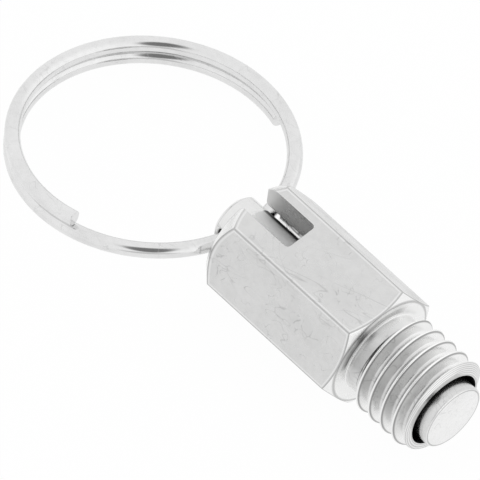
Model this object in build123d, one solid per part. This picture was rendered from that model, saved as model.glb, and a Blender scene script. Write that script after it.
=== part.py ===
"""Pull-ring locking bolt: a hexagon body with a threaded nose, a spring-loaded plunger and a split ring.

Sizes are in millimetres. The origin is the point where the shoulder's seat plane meets the thread's axis.
+X points out of the nose, +Z points up with the body lying on one flat, and +Y follows by the right hand.
The plunger is shown drawn back and parked, with its ring across the ends of the two ears.
"""

import math
import os

from build123d import *

# ---------------------------------------------------------------- threaded nose
thread_dia = 9.8
nose_length = 8.2
neck_step = 0.85                # from the thread's outside down to the relief neck
neck_length = 1.35
neck_fillet = 0.3
thread_start_chamfer = 0.45
thread_end_chamfer = 0.5
rim_width = 0.57                # the flat rim at the end of the nose

# ---------------------------------------------------------------- hexagon body
shoulder_width = 0.65           # from the thread's outside to the middle of a flat
hex_length = 16.8
front_chamfer_angle = 30.0      # from the seat plane
front_face_inset = 0.05         # from the middle of a flat to the edge of the seat face
rear_chamfer_angle = 50.0       # from the rear face
rear_face_inset = 0.35          # from the middle of a flat to the edge of the rear face

# ---------------------------------------------------------------- slot between the ears
slot_width = 3.25
slot_depth = 6.05
slot_corner = 0.35
slot_turn = 6.0                 # the slot is milled a few degrees off square to the flats

# ---------------------------------------------------------------- bores
mouth_width = 0.33              # on the radius, at the nose bore's mouth
mouth_depth = 0.7
head_clearance = 0.25           # on the radius, in the nose bore
guide_clearance = 0.06          # on the radius, in the guide hole
guide_wall = 2.6
pocket_gap = 0.9                # on the radius, round the tail between the ears
pocket_past_slot = 0.9
pocket_chamfer = 0.3

# ---------------------------------------------------------------- plunger
pin_reach = 1.2                 # how far the pin stands out of the nose while parked
pin_chamfer = 0.12
pin_chamfer_depth = 0.12
head_length = 9.55
head_step = 0.75                # the step from the head to the tail that the spring pushes on
head_back_chamfer = 0.3
tail_end_chamfer = 0.35
tail_past_hole = 1.6            # from the middle of the cross hole to the tail's end

# ---------------------------------------------------------------- split ring
ring_mean_dia = 25.0
ring_wire_dia = 1.43
ring_coil_gap = 0.03            # between one turn's wire and the next
ring_turns = 1.584
ring_turns_before_hole = 0.793
ring_park_clearance = 0.3       # between the wire and the ears' inner edge
ring_roll = 10.8                # the plunger's cross hole dips this far towards +Y
ring_yaw = 2.6                  # the ring lies this far askew in the hole, its middle towards +Y
hole_clearance = 0.1            # on the radius, round the curved wire
hole_chamfer = 0.25

# ---------------------------------------------------------------- spring
spring_wire_dia = 0.55
spring_coils = 6.0
spring_bore_clearance = 0.2     # on the radius, to the nose bore
spring_seat_clearance = 0.3     # at each end

# ---------------------------------------------------------------- what follows from the sizes above
thread_radius = thread_dia / 2
neck_radius = thread_radius - neck_step
across_flats = thread_dia + 2 * shoulder_width
corner_radius = across_flats / math.sqrt(3)
front_face_radius = across_flats / 2 - front_face_inset
rear_face_radius = across_flats / 2 - rear_face_inset
floor_z = -across_flats / 2
mouth_radius = thread_radius - thread_end_chamfer - rim_width
bore_radius = mouth_radius - mouth_width
pin_radius = bore_radius - head_clearance
tail_radius = pin_radius - head_step
guide_radius = tail_radius + guide_clearance
pocket_radius = tail_radius + pocket_gap
slot_floor_x = slot_depth - hex_length
pocket_floor_x = slot_floor_x + pocket_past_slot
guide_front_x = pocket_floor_x + guide_wall
pin_tip_x = nose_length + pin_reach
head_back_x = pin_tip_x - head_length
ring_radius = ring_mean_dia / 2
wire_radius = ring_wire_dia / 2
ring_coil_rise = ring_wire_dia + ring_coil_gap
long_enough = 4 * across_flats


def sagitta(half_chord: float) -> float:
    """How far the ring's centre line falls back from its tangent at a half chord."""
    return ring_radius - math.sqrt(ring_radius**2 - half_chord**2)


# The curved wire sits evenly in the straight hole: half of its sagitta lies each side of the hole's axis.
wire_offset = sagitta(tail_radius) / 2
hole_radius = wire_radius + wire_offset + tail_radius * math.sin(math.radians(ring_yaw)) + hole_clearance
ear_edge = pocket_radius + pocket_chamfer / 2
wire_x = sagitta(ear_edge) - hex_length - wire_radius - ring_park_clearance
hole_x = wire_x - wire_offset
tail_end_x = hole_x - tail_past_hole


def turned(points: list[tuple[float, float]]) -> Part:
    """A solid turned about the X axis from (x, radius) points."""
    outline = Polyline(*points, close=True)
    return revolve(make_face(outline), Axis.X)


def ring_point(turn: float, tilt: float) -> Vector:
    """A point of the ring's centre line, the given number of turns past the hole, with the ring tilted."""
    angle = 2 * math.pi * turn
    local = Vector(
        wire_offset - ring_radius * (1 - math.cos(angle)),
        -ring_radius * math.sin(angle),
        -ring_coil_rise * turn,
    )
    return local.rotate(Axis.Z, -ring_yaw).rotate(Axis.Y, tilt).rotate(Axis.X, -ring_roll)


def resting_tilt() -> float:
    """The tilt, in degrees, that lays the ring's lowest point on the surface under the body."""
    level, steep = 0.0, 30.0
    steps = [k / 200 * ring_turns - ring_turns_before_hole for k in range(201)]
    for _ in range(40):
        tilt = (level + steep) / 2
        lowest = min(ring_point(turn, -tilt).Z for turn in steps) - wire_radius
        if lowest > floor_z:
            level = tilt
        else:
            steep = tilt
    return -level


def make_body() -> Part:
    """The hexagon body: ears, slot, shoulder, neck, threaded nose and stepped bore."""
    flats = Plane.YZ * RegularPolygon(across_flats / 2, 6, major_radius=False)
    bar = extrude(flats, -hex_length)
    front_step = (corner_radius - front_face_radius) * math.tan(math.radians(front_chamfer_angle))
    rear_step = (corner_radius - rear_face_radius) * math.tan(math.radians(rear_chamfer_angle))
    crowned = bar & turned([
        (0, 0),
        (0, front_face_radius),
        (-front_step, corner_radius),
        (-hex_length + rear_step, corner_radius),
        (-hex_length, rear_face_radius),
        (-hex_length, 0),
    ])
    nose = turned([
        (-1, 0),
        (-1, neck_radius),
        (neck_length, neck_radius),
        (neck_length + thread_start_chamfer, thread_radius),
        (nose_length - thread_end_chamfer, thread_radius),
        (nose_length, thread_radius - thread_end_chamfer),
        (nose_length, 0),
    ])
    solid = crowned + nose
    at_shoulder = solid.edges().filter_by(GeomType.CIRCLE).filter_by(
        lambda edge: abs(edge.radius - neck_radius) < 1e-4 and abs(edge.center().X) < 1e-4
    )
    solid = fillet(at_shoulder, neck_fillet)
    bores = turned([
        (nose_length + 1, 0),
        (nose_length + 1, mouth_radius),
        (nose_length, mouth_radius),
        (nose_length - mouth_depth, bore_radius),
        (guide_front_x, bore_radius),
        (guide_front_x, guide_radius),
        (pocket_floor_x, guide_radius),
        (pocket_floor_x, pocket_radius),
        (-hex_length + pocket_chamfer, pocket_radius),
        (-hex_length, pocket_radius + pocket_chamfer),
        (-hex_length - 1, pocket_radius + pocket_chamfer),
        (-hex_length - 1, 0),
    ])
    cutter = Box(slot_depth + 5, slot_width, long_enough, align=(Align.MAX, Align.CENTER, Align.CENTER))
    floor_edges = cutter.edges().filter_by(Axis.Z).sort_by(Axis.X)[-2:]
    cutter = fillet(floor_edges, slot_corner)
    cutter = Rot(X=-slot_turn) * Pos(X=slot_floor_x) * cutter
    return solid - bores - cutter


def make_plunger() -> Part:
    """The plunger: a stout head that locks, a tail that is guided, and a cross hole for the ring."""
    shaft = turned([
        (pin_tip_x, 0),
        (pin_tip_x, pin_radius - pin_chamfer),
        (pin_tip_x - pin_chamfer_depth, pin_radius),
        (head_back_x + head_back_chamfer, pin_radius),
        (head_back_x, pin_radius - head_back_chamfer),
        (head_back_x, tail_radius),
        (tail_end_x + tail_end_chamfer, tail_radius),
        (tail_end_x, tail_radius - tail_end_chamfer),
        (tail_end_x, 0),
    ])
    drill = Cylinder(hole_radius, long_enough, rotation=(90, 0, 0))
    for side in (-1, 1):
        sink = Cone(hole_radius, hole_radius + 2 * hole_chamfer, 2 * hole_chamfer, rotation=(-90 * side, 0, 0))
        drill += Pos(Y=side * tail_radius) * sink
    return shaft - Pos(X=hole_x) * Rot(X=-ring_roll) * drill


def make_spring() -> Part:
    """The compression spring between the guide wall and the plunger's head, its ends ground flat."""
    spring_back_x = guide_front_x + spring_seat_clearance
    spring_front_x = head_back_x - spring_seat_clearance
    mean_radius = bore_radius - spring_bore_clearance - spring_wire_dia / 2
    free = spring_front_x - spring_back_x
    rise = free / spring_coils
    path = Helix(rise, free, mean_radius)
    section = Plane(origin=path @ 0, z_dir=path % 0) * Circle(spring_wire_dia / 2)
    coil = sweep(section, path=path)
    coil = Pos(X=spring_back_x) * Rot(Y=90) * coil
    ground = Box(free, long_enough, long_enough, align=(Align.MIN, Align.CENTER, Align.CENTER))
    return coil & (Pos(X=spring_back_x) * ground)


def make_ring() -> Part:
    """The split ring, threaded through the tail's cross hole and lying back on the surface."""
    path = Helix(ring_coil_rise, ring_coil_rise * ring_turns, ring_radius)
    section = Plane(origin=path @ 0, z_dir=path % 0) * Circle(wire_radius)
    coil = sweep(section, path=path)
    # The helix climbs anticlockwise; turned over, it starts at the upper end and passes the hole on its way down.
    coil = Rot(X=180) * Rot(Z=-360 * ring_turns_before_hole) * coil
    coil = Pos(wire_offset - ring_radius, 0, ring_coil_rise * ring_turns_before_hole) * coil
    return Pos(X=hole_x) * Rot(X=-ring_roll) * Rot(Y=resting_tilt()) * Rot(Z=-ring_yaw) * coil


def main() -> None:
    """Make every piece and write it to its own file."""
    os.makedirs("parts", exist_ok=True)
    pieces = {
        "body": make_body(),
        "plunger": make_plunger(),
        "spring": make_spring(),
        "ring": make_ring(),
    }
    for name, piece in pieces.items():
        export_step(piece, f"parts/{name}.step")


main()
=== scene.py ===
"""Looks of the pull-ring locking bolt: hexagon body with its thread, plunger, split ring and spring.

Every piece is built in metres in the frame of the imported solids: the origin is the point where the
shoulder's seat plane meets the thread's axis, +X points out of the nose and +Z up.
"""

import logging
import math
from dataclasses import dataclass, field
from enum import Enum

import bmesh
import bpy
from mathutils import Matrix, Vector


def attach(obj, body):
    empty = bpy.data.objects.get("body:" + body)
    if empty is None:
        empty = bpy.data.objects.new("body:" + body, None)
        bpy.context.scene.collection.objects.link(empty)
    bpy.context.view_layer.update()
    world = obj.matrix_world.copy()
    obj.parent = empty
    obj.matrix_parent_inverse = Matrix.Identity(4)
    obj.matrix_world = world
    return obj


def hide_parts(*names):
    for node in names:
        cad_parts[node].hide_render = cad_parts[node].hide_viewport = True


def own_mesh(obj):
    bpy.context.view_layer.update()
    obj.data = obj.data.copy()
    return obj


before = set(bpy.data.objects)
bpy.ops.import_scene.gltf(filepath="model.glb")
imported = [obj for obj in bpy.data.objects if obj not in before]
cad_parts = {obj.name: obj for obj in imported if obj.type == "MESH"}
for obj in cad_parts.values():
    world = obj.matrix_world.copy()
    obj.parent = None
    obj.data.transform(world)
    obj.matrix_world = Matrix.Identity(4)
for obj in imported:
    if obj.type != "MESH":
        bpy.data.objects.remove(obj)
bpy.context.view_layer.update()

MM = 0.001
LOG = logging.getLogger("locking_bolt")
WHITE = (1.0, 1.0, 1.0, 1.0)

Point = tuple[float, float]
Loop = list[Vector]


class Finish(Enum):
    """The record's material slots."""

    PLATED = "plated_steel"
    TURNED = "turned_steel"
    RING = "ring_wire"
    SPRING = "spring_wire"


# ------------------------------------------------------------------------------------------ node trees


class Term:
    """A node's output to reckon with: each operation adds a Math node and gives its output."""

    def __init__(self, graph: "Graph", socket: bpy.types.NodeSocket) -> None:
        """Take the graph that new nodes go to, and the output."""
        self.graph, self.socket = graph, socket

    def __add__(self, other: "Term | float") -> "Term":
        """Return the sum."""
        return self.graph.math("ADD", self, other)

    def __sub__(self, other: "Term | float") -> "Term":
        """Return the difference."""
        return self.graph.math("SUBTRACT", self, other)

    def __rsub__(self, other: float) -> "Term":
        """Return a number less this."""
        return self.graph.math("SUBTRACT", other, self)

    def __mul__(self, other: "Term | float") -> "Term":
        """Return the product; of two masks, where both are."""
        return self.graph.math("MULTIPLY", self, other)

    def __truediv__(self, other: "Term | float") -> "Term":
        """Return the quotient."""
        return self.graph.math("DIVIDE", self, other)

    def __abs__(self) -> "Term":
        """Return the size without its sign."""
        return self.graph.math("ABSOLUTE", self)

    def __and__(self, other: "Term | float") -> "Term":
        """Return the lesser of the two."""
        return self.graph.math("MINIMUM", self, other)

    def __or__(self, other: "Term | float") -> "Term":
        """Return the greater of the two; of two masks, where either is."""
        return self.graph.math("MAXIMUM", self, other)

    def __gt__(self, other: "Term | float") -> "Term":
        """Return a mask that is 1 where this is the greater."""
        return self.graph.math("GREATER_THAN", self, other)

    def __lt__(self, other: "Term | float") -> "Term":
        """Return a mask that is 1 where this is the lesser."""
        return self.graph.math("LESS_THAN", self, other)


class Graph:
    """Adds nodes to a tree and links them."""

    def __init__(self, tree: bpy.types.NodeTree) -> None:
        """Take the tree to build in."""
        self.tree = tree

    def feed(self, socket: bpy.types.NodeSocket, value: object) -> None:
        """Link an output to an input, or set the input's own value.

        Args:
            socket: The input to fill.
            value: A term, an output socket or a plain value.
        """
        value = value.socket if isinstance(value, Term) else value
        if isinstance(value, bpy.types.NodeSocket):
            self.tree.links.new(value, socket)
        else:
            socket.default_value = value

    def add(self, kind: str, inputs: dict | None = None, **settings: object) -> bpy.types.Node:
        """Add a node.

        Args:
            kind: The node's type name.
            inputs: Values, terms or output sockets by input name or number.
            **settings: Properties of the node itself.

        Returns:
            The new node.
        """
        node = self.tree.nodes.new(kind)
        for name, value in settings.items():
            setattr(node, name, value)
        for key, value in (inputs or {}).items():
            self.feed(node.inputs[key], value)
        return node

    def out(self, kind: str, inputs: dict | None = None, output: int | str = 0, **settings: object) -> Term:
        """Add a node and return one of its outputs.

        Args:
            kind: The node's type name.
            inputs: Values, terms or output sockets by input name or number.
            output: The output's name or number.
            **settings: Properties of the node itself.

        Returns:
            The output.
        """
        return Term(self, self.add(kind, inputs, **settings).outputs[output])

    def group(self, tree: bpy.types.NodeTree, inputs: dict) -> dict[str, Term]:
        """Place a shader group and return its outputs by name."""
        node = self.add("ShaderNodeGroup", inputs, node_tree=tree)
        return {socket.name: Term(self, socket) for socket in node.outputs}

    def math(self, operation: str, *values: object, clamp: bool = False) -> Term:
        """Add a Math node and return its output.

        Args:
            operation: The Math node's operation.
            *values: Its inputs in order.
            clamp: Whether the result is held between 0 and 1.

        Returns:
            The output.
        """
        return self.out("ShaderNodeMath", dict(enumerate(values)), operation=operation, use_clamp=clamp)

    def hypot(self, first: Term, second: Term) -> Term:
        """Return the distance that two distances at right angles make together."""
        return self.math("SQRT", first * first + second * second)

    def fit(self, value: object, low: object, high: object, to_low: object = 0.0, to_high: object = 1.0,
            smooth: bool = False) -> Term:
        """Map a range of values onto another and hold it there.

        Args:
            value: The value to map.
            low: Its lower end.
            high: Its upper end.
            to_low: What the lower end becomes.
            to_high: What the upper end becomes.
            smooth: Whether the ends ease in and out.

        Returns:
            The mapped value.
        """
        kind = "SMOOTHSTEP" if smooth else "LINEAR"
        inputs = {0: value, 1: low, 2: high, 3: to_low, 4: to_high}
        return self.out("ShaderNodeMapRange", inputs, interpolation_type=kind, clamp=True)

    def band(self, value: Term, rise: Point, fall: Point, peak: float = 1.0) -> Term:
        """Return a mask that goes up over one range of a value and down over a later one.

        Args:
            value: The value.
            rise: Where the mask leaves 0, and where it is full.
            fall: Where it stops being full, and where it is 0 again.
            peak: What it is where it is full.

        Returns:
            The mask.
        """
        return self.fit(value, *rise) * self.fit(value, *fall, peak, 0.0)

    def noise(self, place: Term, scale: object, detail: float = 2.0) -> Term:
        """Return a noise at a place, about 0.5 on average."""
        return self.out("ShaderNodeTexNoise", {"Vector": place, "Scale": scale, "Detail": detail})

    def dot(self, first: object, second: object) -> Term:
        """Return how far one direction goes along another."""
        return self.out("ShaderNodeVectorMath", {0: first, 1: second}, 1, operation="DOT_PRODUCT")

    def scale(self, vector: Term, factor: float) -> Term:
        """Return a vector made longer or shorter."""
        return self.out("ShaderNodeVectorMath", {0: vector, "Scale": factor}, operation="SCALE")

    def mix(self, share: object, first: object, second: object) -> Term:
        """Mix two colours and return the mixed one."""
        return self.out("ShaderNodeMix", {0: share, 6: first, 7: second}, 2, data_type="RGBA")

    def split(self, vector: Term) -> tuple[Term, ...]:
        """Return the three parts of a vector."""
        return tuple(Term(self, part) for part in self.add("ShaderNodeSeparateXYZ", {0: vector}).outputs)

    def join(self, x: object, y: object, z: object) -> Term:
        """Return a vector of three parts."""
        return self.out("ShaderNodeCombineXYZ", {0: x, 1: y, 2: z})


class NamedTree:
    """A node group with named inputs and outputs."""

    def __init__(self, name: str, kind: str, inputs: dict[str, object], outputs: dict[str, str]) -> None:
        """Start the group.

        Args:
            name: The group's name.
            kind: GeometryNodeTree or ShaderNodeTree.
            inputs: Default value by input name; a tuple makes a vector.
            outputs: Socket type by output name.
        """
        self.tree = bpy.data.node_groups.new(name, kind)
        for label, value in inputs.items():
            if isinstance(value, bpy.types.Material):
                shape = "NodeSocketMaterial"
            else:
                shape = "NodeSocketVector" if isinstance(value, tuple) else "NodeSocketFloat"
            socket = self.tree.interface.new_socket(label, in_out="INPUT", socket_type=shape)
            socket.default_value = value
        for label, shape in outputs.items():
            self.tree.interface.new_socket(label, in_out="OUTPUT", socket_type=shape)
        self.graph = Graph(self.tree)
        entry = self.graph.add("NodeGroupInput")
        self.leave = self.graph.add("NodeGroupOutput")
        self.given = {label: Term(self.graph, entry.outputs[label]) for label in inputs}

    def put(self, label: str, value: Term) -> None:
        """Feed one of the outputs."""
        self.graph.feed(self.leave.inputs[label], value)

    def put_mesh(self, geometry: Term) -> None:
        """Make the geometry real, give it the group's material and feed the Mesh output.

        Args:
            geometry: The finished geometry.
        """
        real = self.graph.out("GeometryNodeRealizeInstances", {"Geometry": geometry})
        self.put("Mesh", self.graph.out("GeometryNodeSetMaterial", {
            "Geometry": real, "Material": self.given["Material"],
        }))


# ------------------------------------------------------------------------------------------ mesh tools


def piece_from(name: str, vertices: list, faces: list) -> bpy.types.Object:
    """Make a linked object from vertices and faces, with its faces turned outwards.

    Args:
        name: The object's name.
        vertices: Points in metres.
        faces: Tuples of vertex numbers.

    Returns:
        The object.
    """
    mesh = bpy.data.meshes.new(name)
    mesh.from_pydata(vertices, [], faces)
    obj = bpy.data.objects.new(name, mesh)
    bpy.context.scene.collection.objects.link(obj)
    face_outwards(obj)
    return obj


def face_outwards(obj: bpy.types.Object, merge: float = 1e-8) -> None:
    """Merge doubled vertices and turn every face outwards.

    Args:
        obj: The object whose mesh is put right.
        merge: How near two vertices are merged, in metres.
    """
    shape = bmesh.new()
    shape.from_mesh(obj.data)
    bmesh.ops.remove_doubles(shape, verts=shape.verts, dist=merge)
    bmesh.ops.recalc_face_normals(shape, faces=shape.faces)
    shape.to_mesh(obj.data)
    shape.free()


def stacked(name: str, loops: list[Loop]) -> bpy.types.Object:
    """Skin a stack of equal loops and close both ends.

    Args:
        name: The object's name.
        loops: Loops of as many points each, in order.

    Returns:
        The closed solid.
    """
    count = len(loops[0])
    vertices = [point for loop in loops for point in loop]
    faces = []
    for row in range(len(loops) - 1):
        low, high = row * count, (row + 1) * count
        for k in range(count):
            after = (k + 1) % count
            faces.append((low + k, low + after, high + after, high + k))
    faces.append(tuple(range(count)))
    faces.append(tuple(len(vertices) - count + k for k in range(count)))
    return piece_from(name, vertices, faces)


def softened(points: list[Point], radii: list[float], steps: int = 4) -> list[Point]:
    """Round the inner corners of an open outline.

    Args:
        points: The outline's corners.
        radii: The rounding at each inner corner; 0 keeps it sharp.
        steps: Segments in each rounding.

    Returns:
        The rounded outline, with as many points whatever the corners' angles are.
    """
    line = [points[0]]
    for k, radius in enumerate(radii, start=1):
        here = Vector(points[k])
        back, ahead = Vector(points[k - 1]) - here, Vector(points[k + 1]) - here
        if radius <= 0:
            line.append(tuple(here))
            continue
        turn = math.pi - back.angle(ahead)
        reach = min(radius * math.tan(turn / 2), 0.47 * back.length, 0.47 * ahead.length)
        start, end = here + back.normalized() * reach, here + ahead.normalized() * reach
        middle = (back.normalized() + ahead.normalized()).normalized()
        rounding = reach / math.tan(turn / 2)
        centre = here + middle * (rounding / math.cos(turn / 2))
        first, last = start - centre, end - centre
        swing = first.angle_signed(last)
        for step in range(steps + 1):
            arm = first.copy()
            arm.rotate(Matrix.Rotation(-swing * step / steps, 2))
            line.append(tuple(centre + arm))
    line.append(points[-1])
    return line


def turned(name: str, outline: list[Point], segments: int = 144, along: str = "X") -> bpy.types.Object:
    """Turn an outline of (place along the axis, radius) into a closed solid.

    Args:
        name: The object's name.
        outline: Points whose radii are all above 0; the ends are closed by flat faces.
        segments: Segments round the axis.
        along: The axis, X or Y.

    Returns:
        The closed solid.
    """
    loops = []
    for place, radius in outline:
        loop = []
        for k in range(segments):
            angle = math.tau * k / segments
            across, up = radius * math.cos(angle), radius * math.sin(angle)
            loop.append(Vector((place, across, up)) if along == "X" else Vector((across, place, up)))
        loops.append(loop)
    return stacked(name, loops)


def settle(obj: bpy.types.Object) -> bpy.types.Object:
    """Turn an object's live modifiers into its mesh and remove them.

    Args:
        obj: The object.

    Returns:
        The same object.
    """
    bpy.context.view_layer.update()
    graph = bpy.context.evaluated_depsgraph_get()
    mesh = bpy.data.meshes.new_from_object(obj.evaluated_get(graph), depsgraph=graph)
    obj.modifiers.clear()
    old = obj.data
    obj.data = mesh
    bpy.data.meshes.remove(old)
    return obj


def combine(base: bpy.types.Object, other: bpy.types.Object, operation: str) -> bpy.types.Object:
    """Join, cut or keep what two solids share, and drop the second one.

    Args:
        base: The solid that is kept.
        other: The solid that is used up.
        operation: UNION, DIFFERENCE or INTERSECT.

    Returns:
        The changed base.
    """
    step = base.modifiers.new(operation.title(), "BOOLEAN")
    step.operation, step.object, step.solver = operation, other, "MANIFOLD"
    settle(base)
    mesh = other.data
    bpy.data.objects.remove(other)
    bpy.data.meshes.remove(mesh)
    return base


def smooth(obj: bpy.types.Object, angle: float) -> bpy.types.Object:
    """Shade an object smoothly between faces that meet at less than an angle.

    Args:
        obj: The finished solid.
        angle: The angle in degrees above which an edge stays crisp.

    Returns:
        The same object.
    """
    obj.data.shade_smooth()
    obj.data.set_sharp_from_angle(angle=math.radians(angle))
    weigh = obj.modifiers.new("Weigh", "WEIGHTED_NORMAL")
    weigh.keep_sharp = True
    weigh.weight = 100
    weigh.mode = "FACE_AREA"
    return settle(obj)


def grown(name: str, tree: bpy.types.NodeTree, sizes: dict[str, object]) -> bpy.types.Object:
    """Run a Geometry Nodes tree and turn its result into a plain mesh.

    Args:
        name: The new object's name.
        tree: The tree to run.
        sizes: The value of each named input.

    Returns:
        The object, with no modifier left on it.
    """
    obj = bpy.data.objects.new(name, bpy.data.meshes.new(name))
    bpy.context.scene.collection.objects.link(obj)
    step = obj.modifiers.new(name, "NODES")
    step.node_group = tree
    for socket in tree.interface.items_tree:
        if socket.item_type == "SOCKET" and socket.in_out == "INPUT" and socket.name in sizes:
            step[socket.identifier] = sizes[socket.name]
    settle(obj)
    face_outwards(obj)
    return obj


# ------------------------------------------------------------------------------------------ finishes


MASK = {"Mask": "NodeSocketFloat"}
NOWHERE = (0.0, 0.0, 0.0)


def scratch_group() -> bpy.types.NodeTree:
    """Build the shared group of fine straight scratches.

    Returns:
        A group that turns a place into a mask of thin lines.
    """
    group = NamedTree(
        "FineScratches", "ShaderNodeTree",
        {"Vector": NOWHERE, "Density": 900.0, "Stretch": 0.05, "Turn": 0.6, "Share": 0.12}, MASK,
    )
    graph, given = group.graph, group.given
    axis, shift, width = (0.55, 0.35, 0.76), 0.013, 0.012
    marks = []
    for number, spin in enumerate((1.0, -0.7, 2.3)):
        x, y, z = graph.split(graph.out("ShaderNodeVectorRotate", {
            "Vector": given["Vector"], "Axis": axis, "Angle": given["Turn"] * spin,
        }))
        place = graph.join(x * given["Stretch"], y + shift * number, z)
        wavy = graph.noise(place, given["Density"], 1.0)
        thin = graph.fit(abs(wavy - 0.5), 0.0, width, 1.0, 0.0)
        patch = graph.noise(place, 420.0 + 90.0 * number)
        marks.append(thin * graph.fit(patch, 0.52, 0.62))
    total = marks[0] | marks[1] | marks[2]
    group.put("Mask", graph.math("MULTIPLY", total, given["Share"], clamp=True))
    return group.tree


def crinkle_group() -> bpy.types.NodeTree:
    """Build the shared group of short crooked handling marks.

    Returns:
        A group that turns a place into a mask of broken crooked lines.
    """
    group = NamedTree(
        "Crinkles", "ShaderNodeTree", {"Vector": NOWHERE, "Scale": 950.0, "Coverage": 0.46}, MASK,
    )
    graph, vector = group.graph, group.given["Vector"]
    bend = graph.out("ShaderNodeTexNoise", {"Vector": vector, "Scale": 900.0, "Detail": 3.0}, "Color")
    drift = graph.out("ShaderNodeVectorMath", {0: bend, 1: (0.5, 0.5, 0.5)}, operation="SUBTRACT")
    place = graph.out("ShaderNodeVectorMath", {0: vector, 1: graph.scale(drift, 0.8 * MM)})
    cells = {"Vector": place, "Scale": group.given["Scale"]}
    lines = graph.fit(
        graph.out("ShaderNodeTexVoronoi", cells, feature="DISTANCE_TO_EDGE"), 0.0, 0.07, 1.0, 0.0,
    )
    short = graph.fit(graph.noise(vector, 1500.0), 0.47, 0.58)
    region = graph.noise(vector, 260.0, 1.0) - (1.0 - group.given["Coverage"])
    group.put("Mask", graph.math("MULTIPLY", lines * short, graph.fit(region, 0.0, 0.08), clamp=True))
    return group.tree


def edge_group() -> bpy.types.NodeTree:
    """Build the shared group that finds edges, for the painted dark line along them.

    Returns:
        A group that turns a rounded normal and the true one into a mask along edges.
    """
    group = NamedTree(
        "DarkEdges", "ShaderNodeTree",
        {"Rounded": (0.0, 0.0, 1.0), "True": (0.0, 0.0, 1.0), "Low": 0.02, "High": 0.2}, MASK,
    )
    given = group.given
    bend = 1.0 - group.graph.dot(given["Rounded"], given["True"])
    dark_edge = (bend - given["Low"], given["High"] - given["Low"])
    group.put("Mask", group.graph.math("DIVIDE", *dark_edge, clamp=True))
    return group.tree


class ShapeMarks(NamedTree):
    """A shared group of masks that follow one piece's own shape; inside, lengths are in millimetres."""

    def __init__(self, name: str, sizes: dict[str, float], masks: tuple[str, ...]) -> None:
        """Start the group and find where a place lies on the piece.

        Args:
            name: The group's name.
            sizes: The piece's sizes, in millimetres or as they are, by input name.
            masks: The names of the masks that it puts out.
        """
        super().__init__(
            name, "ShaderNodeTree", {"Vector": NOWHERE, **sizes}, {mask: "NodeSocketFloat" for mask in masks},
        )
        self.x, self.y, self.z = self.graph.split(self.graph.scale(self.given["Vector"], 1 / MM))
        self.radius = self.graph.hypot(self.y, self.z)


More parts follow.
